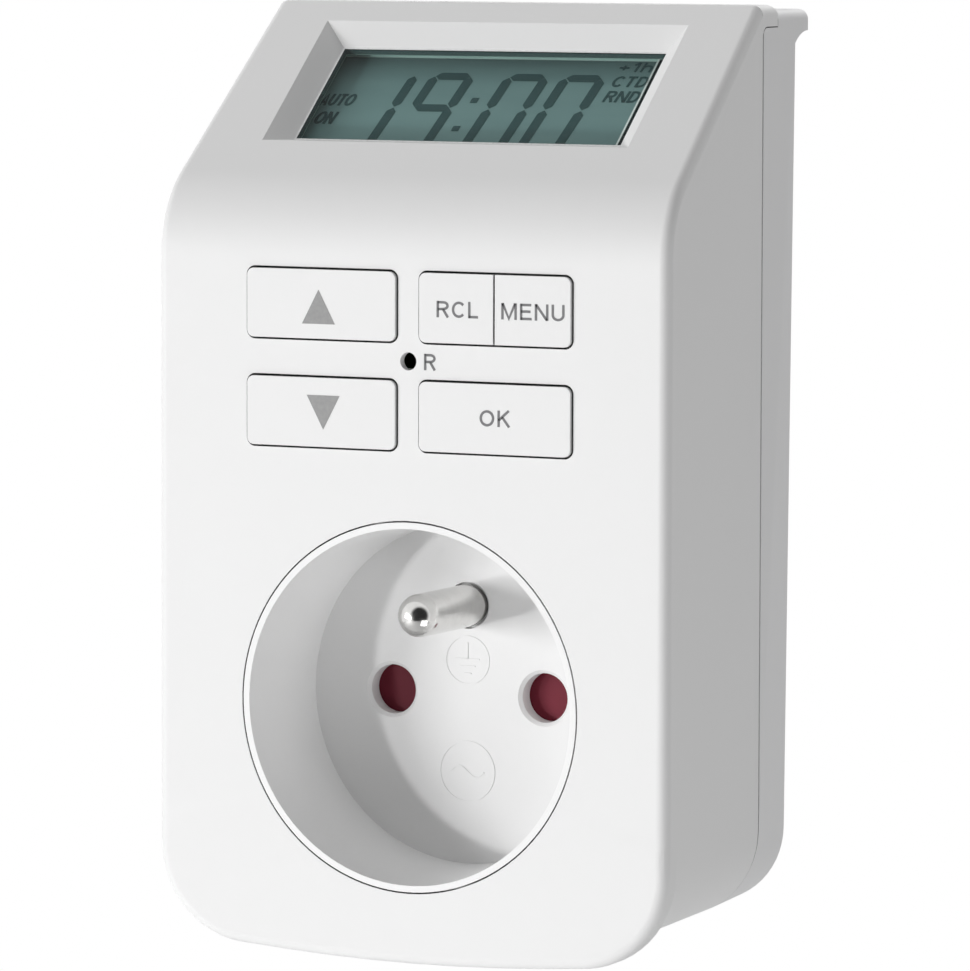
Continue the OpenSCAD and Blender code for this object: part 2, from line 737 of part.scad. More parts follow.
module shutter_spring() {
    rise = (spring_l - spring_wire) / (2 * spring_turns);
    color("silver") for (i = [0:2 * spring_turns - 1])
        translate([0, spring_y, spring_z0 + spring_wire / 2 + (i + 0.5) * rise])
            half_turn(i % 2 == 0 ? 1 : -1, rise);
}

module contact_sleeve(x) {
    color("goldenrod") difference() {
        union() {
            rod(x, 0, block_y0 + 0.6, block_y1, sleeve_out_r);
            rod(x, 0, block_y1 - 0.8, block_y1, sleeve_flange_r);
        }
        rod(x, 0, block_y0 - 1, block_y1 + 1, sleeve_in_r);
        // spring slots
        block([x - 0.3, block_y0, -5], [x + 0.3, block_y1 - 3, 5]);
    }
}
module contact_sleeve_neutral() { contact_sleeve(-hole_x); }
module contact_sleeve_live() { contact_sleeve(hole_x); }

module earth_pin() {
    tip_y = floor_y - earth_l;
    color("silver") {
        translate([0, tip_y + earth_r, earth_up]) sphere(earth_r);
        rod(0, earth_up, tip_y + earth_r, floor_y, earth_r);
        rod(0, earth_up, floor_y, block_y1, hidden_pin_r);
        rod(0, earth_up, block_y1 - 1.1, block_y1, earth_r + 1);
        rod(0, earth_up, block_y1, bar_y1, 1.5);
    }
}

module earth_bracket() {
    clip_z1 = clip_z0 + clip_t;
    color("goldenrod") {
        difference() {
            block([-clip_w / 2, block_y1, -clip_z1], [clip_w / 2, bar_y1, clip_z1]);
            rod(0, earth_up, block_y1 - 1, bar_y1 + 1, 1.5 + fit);
        }
        for (s = [0, 1]) mirror([0, 0, s]) {
            block([-clip_w / 2, block_y1, clip_z0], [clip_w / 2, -3, clip_z1]);
            translate([-clip_w / 2, -4, clip_z0]) rotate([0, 90, 0]) cylinder(h = clip_w, r = 0.3);
        }
    }
}

// ---------------------------------------------------------------- plug

module plug_earth_sleeve() {
    color("goldenrod") difference() {
        union() {
            rod(0, earth_up, bar_y1, -plug_floor, sleeve_out_r);
            rod(0, earth_up, bar_y1, bar_y1 + 0.8, sleeve_flange_r);
        }
        rod(0, earth_up, bar_y1 + 1.6, 1, sleeve_in_r);
    }
}

module pin_carrier() {
    color("dimgray") difference() {
        rod(0, 0, carrier_y0, -plug_floor, cup_r - 0.15);
        for (s = [-1, 1]) rod(s * hole_x, 0, carrier_y0 - 1, 1, hidden_pin_r + fit);
        rod(0, earth_up, carrier_y0 - 1, 1, sleeve_out_r + fit);
        for (p = carrier_screw_at) {
            rod(p[0], p[1], carrier_y0 - 1, 1, small_r + 0.1);
            rod(p[0], p[1], carrier_y0 - 1, carrier_seat_y, small_head_r + 0.2);
        }
        for (s = [0, 1]) mirror([0, 0, s])
            block([-clip_w / 2 - 0.5, carrier_y0 - 1, cup_r - 1.2], [clip_w / 2 + 0.5, 1, plug_r]);
    }
}

module carrier_screws() {
    color("silver") for (p = carrier_screw_at)
        screw(p[0], p[1], carrier_seat_y, -1.2, small_r, small_head_r, small_head_t);
}

module plug_pin(x) {
    color("silver") {
        rod(x, 0, -dimple_d, pin_l - pin_r, pin_r);
        rod(x, 0, carrier_y0, -dimple_d, hidden_pin_r);
        translate([x, pin_l - pin_r, 0]) sphere(pin_r);
        rod(x, 0, carrier_y0 - pin_flange_t, carrier_y0, pin_r + 1);
        rod(x, 0, tail_y0, carrier_y0 - pin_flange_t, 1.5);
    }
}
module plug_pin_neutral() { plug_pin(-hole_x); }
module plug_pin_live() { plug_pin(hole_x); }

// Ring on the tail of a plug pin, with its arm.
module tail_ring() {
    difference() {
        union() {
            rod(hole_x, 0, tail_y0, tail_y0 + bar_t, pin_r + 1);
            block([hole_x, tail_y0, -1.5], [leg_x + bar_t, tail_y0 + bar_t, 1.5]);
        }
        rod(hole_x, 0, tail_y0 - 1, tail_y0 + 2, 1.5 + fit);
    }
}

module neutral_busbar() {
    color("peru") {
        mirror([1, 0, 0]) {
            tail_ring();
            block([leg_x, block_y1, -1.5], [leg_x + bar_t, tail_y0 + bar_t, 1.5]);
            difference() {
                union() {
                    rod(hole_x, 0, block_y1, bar_y1, sleeve_flange_r);
                    block([hole_x, block_y1, -1.5], [leg_x + bar_t, bar_y1, 1.5]);
                }
                rod(hole_x, 0, block_y1 - 1, bar_y1 + 1, sleeve_in_r);
            }
        }
    }
}

module live_busbar_in() {
    x1 = rib_at[1][0] + 5;
    color("peru") {
        tail_ring();
        block([leg_x, block_y1, -1.5], [leg_x + bar_t, tail_y0 + bar_t, 1.5]);
        block([leg_x, block_y1, -1.5], [x1, bar_y1, 1.5]);
        block([x1 - 2, block_y1, -1.5], [x1, bar_y1, busbar_top]);
    }
}

module live_busbar_out() {
    color("peru") difference() {
        union() {
            rod(hole_x, 0, block_y1, bar_y1, sleeve_flange_r);
            block([hole_x - 1.5, block_y1, 0], [hole_x + 1.5, bar_y1, busbar_top]);
        }
        rod(hole_x, 0, block_y1 - 1, bar_y1 + 1, sleeve_in_r);
    }
}

// ---------------------------------------------------------------- power board

module power_board() {
    color("darkgreen") difference() {
        block([-board_half, power_y, power_z0], [board_half, block_y1, power_z1]);
        for (p = power_post_at) rod(p[0], p[1], power_y - 1, block_y1 + 1, small_r + 0.15);
    }
}

module power_board_screws() {
    color("silver") for (p = power_post_at)
        screw(p[0], p[1], power_y, block_y1 + 2.9, small_r, small_head_r, small_head_t);
}

// Box that stands on the front of the power board, on two legs.
module boxed_part(x, z, size, leg_x, leg_z) {
    block([x, power_y - 0.4 - size[1], z], [x + size[0], power_y - 0.4, z + size[2]]);
    for (a = leg_x, b = leg_z)
        block([x + a - 0.4, power_y - 1, z + b - 0.4], [x + a + 0.4, power_y, z + b + 0.4]);
}

module relay() {
    color("black") boxed_part(relay_x, relay_z, relay_size, [2.6, relay_size[0] - 2.6],
        [2, relay_size[2] - 2]);
}

module mains_capacitor() {
    color("goldenrod") boxed_part(parts_x, film_z, film_size, [2, film_size[0] - 2],
        [film_size[2] / 2]);
}

module smoothing_capacitor() {
    color("midnightblue") difference() {
        rod(can_at[0], can_at[1], power_y - can_l, power_y, can_r);
        rod(can_at[0], can_at[1], power_y - can_l - 1, power_y - can_l + 0.3, can_r - 0.7);
    }
}

// Round body across X on two leads.
module lying_part(x, z, r, l, lead_r, body_y) {
    translate([x, body_y, z]) rotate([0, 90, 0]) cylinder(h = l, r = r);
    translate([x - 1.8, body_y, z]) rotate([0, 90, 0]) cylinder(h = l + 3.6, r = lead_r);
    for (a = [x - 1.4, x + l + 1.4]) rod(a, z, body_y, power_y, lead_r);
}

module varistor() {
    x = varistor_at[0];
    z = varistor_at[1];
    color("royalblue") {
        translate([x - varistor_t / 2, power_y - varistor_r - 1.9, z]) rotate([0, 90, 0])
            cylinder(h = varistor_t, r = varistor_r);
        for (a = [-2.5, 2.5]) rod(x, z + a, power_y - 4, power_y, 0.4);
    }
}

// Upright body on two bent leads.
module diode(x) {
    y = power_y - diode_r - 0.55;
    translate([x, y, diode_z]) cylinder(h = diode_l, r = diode_r);
    translate([x, y, diode_z - 1.6]) cylinder(h = diode_l + 3.2, r = 0.4);
    for (z = [diode_z - 1.2, diode_z + diode_l + 1.2]) rod(x, z, y, power_y, 0.4);
}

module rectifier_diodes() {
    color("black") for (i = [0:3]) diode(parts_x + i * diode_pitch);
}

module dropper_resistor() {
    color("burlywood") lying_part(resistor_at[0], resistor_at[1], resistor_r, resistor_l, 0.45,
        power_y - resistor_r - 0.6);
}

module ribbon_cable() {
    x = ribbon_at[0];
    z = ribbon_at[1];
    color("lightgray") block([x, ctrl_back_y, z], [x + ribbon_w, power_y, z + ribbon_t]);
}

// ---------------------------------------------------------------- control board

module control_board() {
    color("darkgreen") difference() {
        block([-board_half, ctrl_y, ctrl_z0], [board_half, ctrl_back_y, ctrl_z1]);
        for (p = ctrl_post_at) rod(p[0], p[1], ctrl_y - 1, ctrl_back_y + 1, small_r + 0.15);
    }
}

module control_board_screws() {
    color("silver") for (p = ctrl_post_at)
        screw(p[0], p[1], ctrl_back_y, front_in_y + 0.8, small_r, small_head_r, small_head_t);
}

module controller_chip() {
    x = chip_at[0];
    z = chip_at[1];
    color("black") {
        block([x, ctrl_back_y + 0.2, z],
            [x + chip_size[0], ctrl_back_y + 0.2 + chip_size[1], z + chip_size[2]]);
        for (a = [0.6:1.2:chip_size[0] - 1])
            block([x + a, ctrl_back_y, z - 1], [x + a + 0.4, ctrl_back_y + 0.6, z + chip_size[2] + 1]);
    }
}

module quartz_crystal() {
    a = [crystal_at[0], ctrl_back_y, crystal_at[1]];
    color("silver") block(a, a + crystal_size);
}

module backup_battery() {
    color("forestgreen") rod(cell_at[0], cell_at[1], ctrl_back_y, ctrl_back_y + cell_t, cell_r);
}

// ---------------------------------------------------------------- keys

// Face of a key; an end that faces another key is square.
module key_outline(w, h, left_free, right_free) {
    rounded_rect(w, h, key_r);
    if (!left_free) translate([-w / 2, -h / 2]) square([w / 2, h]);
    if (!right_free) translate([0, -h / 2]) square([w / 2, h]);
}

// Key cap in the opening from x0 to x1, with a retaining flange at its free ends.
module key_cap(x0, x1, z, left_free, right_free) {
    a = x0 + (left_free ? key_gap : key_split / 2);
    b = x1 - (right_free ? key_gap : key_split / 2);
    color("lightslategray") {
        along_y(front_y - key_proud, key_back_y) translate([(a + b) / 2, z])
            key_outline(b - a, key_h - 2 * key_gap, left_free, right_free);
        block([left_free ? x0 - flange_w : a, front_in_y + key_rest, z - key_h / 2 - flange_w],
            [right_free ? x1 + flange_w : b, key_back_y, z + key_h / 2 + flange_w]);
        rod((x0 + x1) / 2, z, key_back_y, nub_y, plunger_r - 0.1);
    }
}
module key_up() { key_cap(-key_x1, -key_x0, key_high_h, true, true); }
module key_down() { key_cap(-key_x1, -key_x0, key_low_h, true, true); }
module key_recall() { key_cap(key_x0, split_x, key_high_h, true, false); }
module key_menu() { key_cap(split_x, key_x1, key_high_h, false, true); }
module key_ok() { key_cap(key_x0, key_x1, key_low_h, true, true); }

module plunger(i) {
    color("black") rod(switch_at[i][0], switch_at[i][1], nub_y, switch_y + plunger_in, plunger_r);
}
module plunger_up() { plunger(0); }
module plunger_down() { plunger(1); }
module plunger_recall() { plunger(2); }
module plunger_menu() { plunger(3); }
module plunger_ok() { plunger(4); }

module key_switches() {
    color("dimgray") for (p = switch_at) difference() {
        block([p[0] - switch_w / 2, switch_y, p[1] - switch_w / 2],
            [p[0] + switch_w / 2, ctrl_y, p[1] + switch_w / 2]);
        rod(p[0], p[1], switch_y - 1, switch_y + plunger_in + key_travel + 0.4, plunger_r + 0.1);
    }
}

module reset_switch() {
    color("dimgray") difference() {
        block([-1.7, switch_y, key_mid_h - 1.7], [1.7, ctrl_y, key_mid_h + 1.7]);
        rod(0, key_mid_h, switch_y - 1, switch_y + 1.8, 0.8);
    }
}

module reset_plunger() {
    color("black") rod(0, key_mid_h, front_in_y + 0.5, switch_y + 0.9, 0.7);
}

// ---------------------------------------------------------------- display

module lcd_lens() {
    color("lightcyan") {
        slant_plate(open_w - 0.2, open_h - 0.2, -slant_t - eps, -bevel_d);
        slant_plate(open_w + 2 * lens_over, open_h + 2 * lens_over, lcd_top + lens_gap, -slant_t);
    }
}

module lcd_panel() {
    color("darkslategray") slant_plate(open_w + 1.4, open_h + 1.4, lcd_back, lcd_top);
}

module lcd_frame() {
    color("ivory") difference() {
        union() {
            slant_plate(frame_w, frame_h, frame_back, -slant_t);
            for (s = [-1, 1]) on_slant()
                block([s * ear_x - ear_half, ear_s - ear_half, ear_top - ear_t],
                    [s * ear_x + ear_half, ear_s + ear_half + 0.4, ear_top]);
        }
        slant_plate(open_w + 2 * lens_over + 0.2, open_h + 2 * lens_over + 0.2, lcd_top, 1);
        slant_plate(open_w + 1.6, open_h + 1.6, lcd_back, 1);
        // window for the flex strip
        on_slant() block([-10, open_s + 0.5, frame_back - 1], [10, open_s + 3, 1]);
        for (s = [-1, 1]) on_slant()
            translate([s * ear_x, ear_s, -slant_t - 4]) cylinder(h = 4, r = small_r + 0.15);
    }
}

module lcd_frame_screws() {
    seat = ear_top - ear_t;
    color("silver") for (s = [-1, 1]) on_slant() translate([s * ear_x, ear_s, 0]) {
        translate([0, 0, seat]) cylinder(h = -1.7 - seat, r = small_r);
        translate([0, 0, seat - small_head_t]) cylinder(h = small_head_t, r = small_head_r);
    }
}

// Point of the side view from a distance up the slope and a height above the display face.
function slant_point(d, h) = [front_y + d * cos(slant_a) - h * sin(slant_a),
    slant_h + d * sin(slant_a) + h * cos(slant_a)];

// Strip from the display glass down to the back of the control board.
module lcd_flex() {
    s = open_s + 1;
    t = 0.4;
    z0 = ctrl_z1 - 4.4;
    z1 = z0 + 3;
    color("darkorange") along_x(-flex_w / 2, flex_w / 2)
        polygon([slant_point(s, lcd_back), slant_point(s + t, lcd_back),
            slant_point(s + t, lcd_back - 3), [ctrl_back_y + t, z1], [ctrl_back_y + t, z0],
            [ctrl_back_y, z0], [ctrl_back_y, z1 + 0.2], slant_point(s, lcd_back - 2.8)]);
}

front_shell();
rear_shell();
housing_screws();
socket_insert();
socket_floor();
contact_block();
contact_block_screws();
shutter();
shutter_spring();
contact_sleeve_neutral();
contact_sleeve_live();
earth_pin();
earth_bracket();
plug_earth_sleeve();
pin_carrier();
carrier_screws();
plug_pin_neutral();
plug_pin_live();
neutral_busbar();
live_busbar_in();
live_busbar_out();
power_board();
power_board_screws();
relay();
mains_capacitor();
smoothing_capacitor();
varistor();
rectifier_diodes();
dropper_resistor();
ribbon_cable();
control_board();
control_board_screws();
controller_chip();
quartz_crystal();
backup_battery();
key_up();
key_down();
key_recall();
key_menu();
key_ok();
plunger_up();
plunger_down();
plunger_recall();
plunger_menu();
plunger_ok();
key_switches();
reset_switch();
reset_plunger();
lcd_lens();
lcd_panel();
lcd_frame();
lcd_frame_screws();
lcd_flex();
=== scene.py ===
import math

import bmesh
import bpy
from mathutils import Matrix, Vector


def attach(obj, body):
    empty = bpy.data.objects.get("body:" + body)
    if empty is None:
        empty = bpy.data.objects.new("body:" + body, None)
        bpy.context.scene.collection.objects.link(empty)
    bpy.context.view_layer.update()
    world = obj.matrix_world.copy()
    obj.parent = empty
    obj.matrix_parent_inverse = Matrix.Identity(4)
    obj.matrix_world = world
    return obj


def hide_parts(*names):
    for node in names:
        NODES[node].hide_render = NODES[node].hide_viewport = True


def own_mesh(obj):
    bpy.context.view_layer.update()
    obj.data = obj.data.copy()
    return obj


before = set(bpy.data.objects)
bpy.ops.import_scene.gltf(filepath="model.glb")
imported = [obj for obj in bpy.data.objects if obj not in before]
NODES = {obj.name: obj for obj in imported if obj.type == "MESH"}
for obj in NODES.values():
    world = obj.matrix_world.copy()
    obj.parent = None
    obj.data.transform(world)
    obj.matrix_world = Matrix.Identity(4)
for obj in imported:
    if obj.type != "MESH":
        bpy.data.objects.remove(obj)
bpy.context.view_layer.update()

# ---------------------------------------------------------------- sizes shared with the solids
MM = 0.001
FRONT_Y = -52.3 * MM            # front face
SLANT_Z = 55.2 * MM             # height where the display face meets the front plane
SLANT = math.radians(39.5)      # slope of the display face
LCD_H = -4.0 * MM               # front of the display glass, below the display face
OPEN_X = 20.25 * MM             # half width of the window's opening
OPEN_S0, OPEN_S1 = 13.2 * MM, 29.0 * MM   # its lower and upper edge along the slope
FLOOR_Y = -37.4 * MM            # floor of the socket well
KEY_Y = -52.65 * MM             # front of the keys
DARK_TOP_Z = 71.2 * MM          # upper edge of the visible display glass
PAINTED_SHADE_FADE = 2.8 * MM            # height over which the painted shade at the display's top fades


def on_slant(x, s, h):
    """Point x across, s up the slope and h above the display face, in metres."""
    c, k = math.cos(SLANT), math.sin(SLANT)
    return Vector((x, FRONT_Y + s * c - h * k, SLANT_Z + s * k + h * c))


# ---------------------------------------------------------------- nodes of a material
NOISE_RANGE = (0.3, 0.7)        # range that a noise mostly stays in


def new_material(name):
    m = bpy.data.materials.new(name)
    m.use_nodes = True
    nt = m.node_tree
    return m, nt, nt.nodes["Principled BSDF"]


def fill(nt, node, inputs):
    """Fills inputs of a node: a socket is linked, anything else is set as the value."""
    for key, value in inputs.items():
        if isinstance(value, bpy.types.NodeSocket):
            nt.links.new(value, node.inputs[key])
        else:
            node.inputs[key].default_value = value
    return node


def add(nt, kind, inputs=None, operation=None):
    """Adds a shader node and fills its inputs."""
    node = nt.nodes.new("ShaderNode" + kind)
    if operation:
        node.operation = operation
    return fill(nt, node, inputs or {})


def object_point(nt):
    return add(nt, "TexCoord").outputs["Object"]


def noise(nt, scale, detail=3.0, point=None):
    """Noise in object space, or at another point."""
    where = object_point(nt) if point is None else point
    inputs = {"Vector": where, "Scale": scale, "Detail": detail}
    return add(nt, "TexNoise", inputs).outputs["Fac"]


def remap(nt, value, source, target):
    """Maps a number from one range to another and holds it at the ends."""
    inputs = {"Value": value, "From Min": source[0], "From Max": source[1],
              "To Min": target[0], "To Max": target[1]}
    return add(nt, "MapRange", inputs).outputs["Result"]


def span(nt, source, low, high):
    """Maps a noise to a range of numbers."""
    return remap(nt, source, NOISE_RANGE, (low, high))


def ramp(nt, source, low, high):
    """Maps a noise to colours between two."""
    r = add(nt, "ValToRGB", {"Fac": source})
    for stop, position, colour in zip(r.color_ramp.elements, NOISE_RANGE, (low, high)):
        stop.position = position
        stop.color = (*colour, 1)
    return r.outputs["Color"]


def maths(nt, operation, a, b):
    return add(nt, "Math", {0: a, 1: b}, operation).outputs["Value"]


def scaled(nt, colour, factor):
    """Colour times a number that varies over the surface."""
    return add(nt, "VectorMath", {0: colour, "Scale": factor}, "SCALE").outputs["Vector"]


def mix_shader(nt, share, first, second):
    """First shader, replaced by the second where share is 1."""
    return add(nt, "MixShader", {"Fac": share, 1: first, 2: second}).outputs["Shader"]


def bump(nt, bsdf, source, strength, distance):
    b = add(nt, "Bump", {"Strength": strength, "Distance": distance, "Height": source})
    nt.links.new(b.outputs["Normal"], bsdf.inputs["Normal"])


def shade(c, k):
    return tuple(max(0.0, min(1.0, v * k)) for v in c)


# ---------------------------------------------------------------- materials
GAP_SHADE_REACH = 0.0007                # reach of the painted shade in narrow gaps
GAP_SHADE_SKY = (0.12, 0.50)      # open sky at which the painted shade is full, and at which it ends
GAP_SHADE_TONE = (0.03, 1.0)      # how dark the painted shade is, and the unshaded colour
PLASTIC_IOR, WINDOW_IOR = 1.49, 1.22
SHEEN = 0.03                    # how far a plastic's roughness varies
# scale of each surface's noises, per metre, and the height of its bumps
CLOUD, GRAIN, GRAIN_H = 60.0, 5200.0, 0.00004
METAL_MARKS, METAL_H = 900.0, 0.00003
INK_PATCHES, INK_H, INK_BUMP = 2500.0, 0.00002, 0.05
WEAVE, MOTTLE, WEAVE_H, WEAVE_BUMP = 1800.0, 350.0, 0.00002, 0.1
POLISH = 400.0
FROST, FROST_H, FROST_BUMP = 3000.0, 0.00003, 0.15
STREAKS = (60.0, 420.0, 420.0)  # they run along the display
CLEAR = (0.97, 0.985, 0.98, 1)  # tint of the window
LCD_DARK, LCD_LIGHT = (0.142, 0.246, 0.246), (0.172, 0.286, 0.284)
LCD_SHADE_TONE = (0.62, 1.0)          # painted shade: tone at the display's upper edge and below it


def painted_gap_shade(nt, colour):
    """Paints shade into a colour, only deep inside narrow gaps where little light reaches."""
    sky = add(nt, "AmbientOcclusion", {"Distance": GAP_SHADE_REACH})
    sky.samples = 8
    return scaled(nt, colour, remap(nt, sky.outputs["AO"], GAP_SHADE_SKY, GAP_SHADE_TONE))


def plastic(name, colour, rough=0.42, grain=0.10, spread=0.015, shine=0.5, gap_shade=False):
    """Moulded plastic: fine spark-eroded grain, faint clouding, an uneven sheen and, where asked,
    painted shade in narrow gaps.
    """
    m, nt, b = new_material(name)
    cloud = noise(nt, CLOUD)
    base = ramp(nt, cloud, shade(colour, 1 - spread), shade(colour, 1 + spread))
    # painted shade: the colour darkens deep in narrow gaps
    if gap_shade:
        base = painted_gap_shade(nt, base)
    fill(nt, b, {"Base Color": base, "Roughness": span(nt, cloud, rough - SHEEN, rough + SHEEN),
                 "IOR": PLASTIC_IOR, "Specular IOR Level": shine})
    bump(nt, b, noise(nt, GRAIN, 2.0), grain, GRAIN_H)
    return m


def metal(name, colour, rough, brushed):
    """Plated or turned metal with fine marks and a slightly uneven polish."""
    m, nt, b = new_material(name)
    marks = noise(nt, METAL_MARKS, 4.0)
    fill(nt, b, {"Metallic": 1.0,
                 "Base Color": ramp(nt, marks, shade(colour, 0.94), shade(colour, 1.04)),
                 "Roughness": span(nt, marks, rough * 0.8, rough * 1.25)})
    bump(nt, b, marks, brushed, METAL_H)
    return m


def ink(name, colour, rough=0.5, shine=0.5):
    """Printed ink: slightly patchy, with a soft sheen."""
    m, nt, b = new_material(name)
    patches = noise(nt, INK_PATCHES)
    fill(nt, b, {"Base Color": ramp(nt, patches, shade(colour, 0.93), shade(colour, 1.07)),
                 "Roughness": span(nt, patches, rough - 0.05, rough + 0.05),
                 "Specular IOR Level": shine})
    bump(nt, b, patches, INK_BUMP, INK_H)
    return m


def board(name, colour):
    """Circuit board: green resist with a faint glass weave."""
    m, nt, b = new_material(name)
    weave = add(nt, "TexChecker", {"Vector": object_point(nt), "Scale": WEAVE})
    tint = ramp(nt, noise(nt, MOTTLE, 4.0), shade(colour, 0.7), shade(colour, 1.3))
    fill(nt, b, {"Base Color": tint, "Roughness": 0.35})
    bump(nt, b, weave.outputs["Fac"], WEAVE_BUMP, WEAVE_H)
    return m


def clear_window():
    """Clear polished window: it lets light straight through and mirrors a little at its front."""
    m, nt, b = new_material("clear_window")
    nt.nodes.remove(b)
    clear = add(nt, "BsdfTransparent", {"Color": CLEAR})
    gloss = add(nt, "BsdfGlossy", {"Roughness": span(nt, noise(nt, POLISH, 2.0), 0.02, 0.05)})
    fresnel = add(nt, "Fresnel", {"IOR": WINDOW_IOR}).outputs["Fac"]
    front = maths(nt, "SUBTRACT", 1.0, add(nt, "NewGeometry").outputs["Backfacing"])
    share = maths(nt, "MULTIPLY", fresnel, front)
    glass = mix_shader(nt, share, clear.outputs["BSDF"], gloss.outputs["BSDF"])
    fill(nt, nt.nodes["Material Output"], {"Surface": glass})
    return m


def display_glass():
    """Reflective display glass: grey-teal, with painted shade towards its upper edge, and faint
    streaks.
    """
    m, nt, b = new_material("display_glass")
    point = object_point(nt)
    along = add(nt, "Mapping", {"Vector": point, "Scale": STREAKS})
    streaks = noise(nt, 1.0, 3.0, along.outputs["Vector"])
    height = add(nt, "SeparateXYZ", {"Vector": point}).outputs["Z"]
    # painted shade: the glass darkens towards its upper edge
    fade = remap(nt, height, (DARK_TOP_Z, DARK_TOP_Z - PAINTED_SHADE_FADE), LCD_SHADE_TONE)
    tint = ramp(nt, streaks, LCD_DARK, LCD_LIGHT)
    fill(nt, b, {"Base Color": scaled(nt, tint, fade),
                 "Roughness": span(nt, streaks, 0.55, 0.65), "Specular IOR Level": 0.15})
    bump(nt, b, noise(nt, FROST, 2.0), FROST_BUMP, FROST_H)
    return m


MAT = {                         # colour, roughness, then grain, clouding and gloss of a plastic
    # the housing, the rear shell and the keys get painted shade in their narrow gaps
    "housing": plastic("housing_white", (0.80, 0.80, 0.80), 0.60, 0.10, 0.006, gap_shade=True),
    "rear": plastic("rear_white", (0.78, 0.78, 0.785), 0.60, 0.10, 0.006, gap_shade=True),
    # the insert's white is a little lighter and the well floor's a little darker than the
    # housing's: painted light on the well's walls, painted shade on its floor
    "insert": plastic("insert_white", (0.86, 0.86, 0.86), 0.55, 0.05, 0.006, 0.35),
    "floor": plastic("well_floor_white", (0.79, 0.79, 0.79), 0.60, 0.05, 0.006, 0.30),
    "key": plastic("key_white", (0.80, 0.80, 0.80), 0.60, 0.08, 0.006, gap_shade=True),
    "shutter": plastic("shutter_red", (0.155, 0.016, 0.030), 0.55, 0.10, 0.12, 0.15),
    "dark": plastic("dark_plastic", (0.03, 0.03, 0.033), 0.5, 0.3, 0.2),
    "cap": plastic("component_yellow", (0.62, 0.40, 0.07), 0.4, 0.2, 0.08),
    "blue": plastic("component_blue", (0.05, 0.10, 0.35), 0.4, 0.2, 0.1),
    "green": plastic("battery_green", (0.05, 0.30, 0.12), 0.4, 0.2, 0.1),
    "grey": plastic("cable_grey", (0.42, 0.42, 0.43), 0.5, 0.2, 0.1),
    "amber": plastic("flex_amber", (0.45, 0.22, 0.05), 0.35, 0.1, 0.1),
    "tan": plastic("resistor_tan", (0.50, 0.36, 0.20), 0.45, 0.2, 0.1),
    "frame": plastic("frame_pale_green", (0.47, 0.66, 0.62), 0.5, 0.2, 0.02),
    "steel": metal("steel", (0.62, 0.62, 0.63), 0.28, 0.15),
    "nickel": metal("nickel_plate", (0.72, 0.715, 0.70), 0.16, 0.05),
    "brass": metal("brass", (0.75, 0.55, 0.24), 0.28, 0.12),
    "board": board("circuit_board", (0.02, 0.13, 0.05)),
    "window": clear_window(),
    "label": ink("label_grey", (0.17, 0.17, 0.175), 0.65),
    "mark": ink("key_mark_grey", (0.30, 0.30, 0.30), 0.65),
    "segment": ink("display_segment", (0.033, 0.078, 0.080), 0.6, 0.05),
    # a near-black strip drawn just inside the window's edge
    "gasket": ink("gasket_black", (0.004, 0.012, 0.012), 0.6, 0.05),
    "shade": ink("display_shade", (0.050, 0.092, 0.090), 0.6, 0.1),
    # window_glint and edge_glint are painted highlights along the window's edges
    "line": ink("window_glint", (0.24, 0.35, 0.33), 0.5, 0.2),
    "bright": ink("edge_glint", (0.80, 0.86, 0.85), 0.4, 0.5),
    # the ledge's whiter colour is a painted highlight along the window's edge
    "ledge": ink("painted_highlight_ledge", (0.92, 0.92, 0.92), 0.3, 0.5),
    "lcd": display_glass(),
}

# ---------------------------------------------------------------- the solids' materials
KEYS = ("up", "down", "recall", "menu", "ok")
NODE_MAT = {                    # every node that isn't listed is dark plastic
    "front_shell": "housing", "rear_shell": "rear", "socket_insert": "insert",
    "socket_floor": "floor", "shutter": "shutter",
    "earth_pin": "nickel", "plug_pin_neutral": "nickel", "plug_pin_live": "nickel",
    "earth_bracket": "nickel", "lcd_lens": "window", "lcd_panel": "lcd", "lcd_frame": "frame",
    "mains_capacitor": "cap", "varistor": "blue", "smoothing_capacitor": "blue",
    "backup_battery": "green", "ribbon_cable": "grey", "lcd_flex": "amber",
    "dropper_resistor": "tan", "power_board": "board", "control_board": "board",
    "plug_earth_sleeve": "brass", "contact_sleeve_neutral": "brass",
    "contact_sleeve_live": "brass", "neutral_busbar": "brass", "live_busbar_in": "brass",
    "live_busbar_out": "brass",
}
NODE_MAT.update(("key_" + key, "key") for key in KEYS)
for part in ("housing_screws", "contact_block_screws", "carrier_screws", "power_board_screws",
             "control_board_screws", "lcd_frame_screws", "shutter_spring", "quartz_crystal"):
    NODE_MAT[part] = "steel"
SHARP = math.radians(28)        # smallest angle that is a real edge


def dress(solid, mat):
    """Gives a solid its material and smooth faces between its real edges."""
    solid.data.materials.clear()
    solid.data.materials.append(mat)
    for poly in solid.data.polygons:
        poly.use_smooth = True
        poly.material_index = 0
    solid.data.set_sharp_from_angle(angle=SHARP)


for name, solid in NODES.items():
    dress(solid, MAT[NODE_MAT.get(name, "dark")])


# ---------------------------------------------------------------- added pieces
def mesh_piece(name, solid, mat, body):
    """Piece from vertices and faces, riding on a body."""
    verts, faces = solid
    me = bpy.data.meshes.new(name)
    me.from_pydata([tuple(v) for v in verts], [], faces)
    me.update()
    ob = bpy.data.objects.new(name, me)
    bpy.context.scene.collection.objects.link(ob)
    bm = bmesh.new()
    bm.from_mesh(me)
    bmesh.ops.recalc_face_normals(bm, faces=bm.faces)
    bm.to_mesh(me)
    bm.free()
    me.materials.append(mat)
    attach(ob, body)


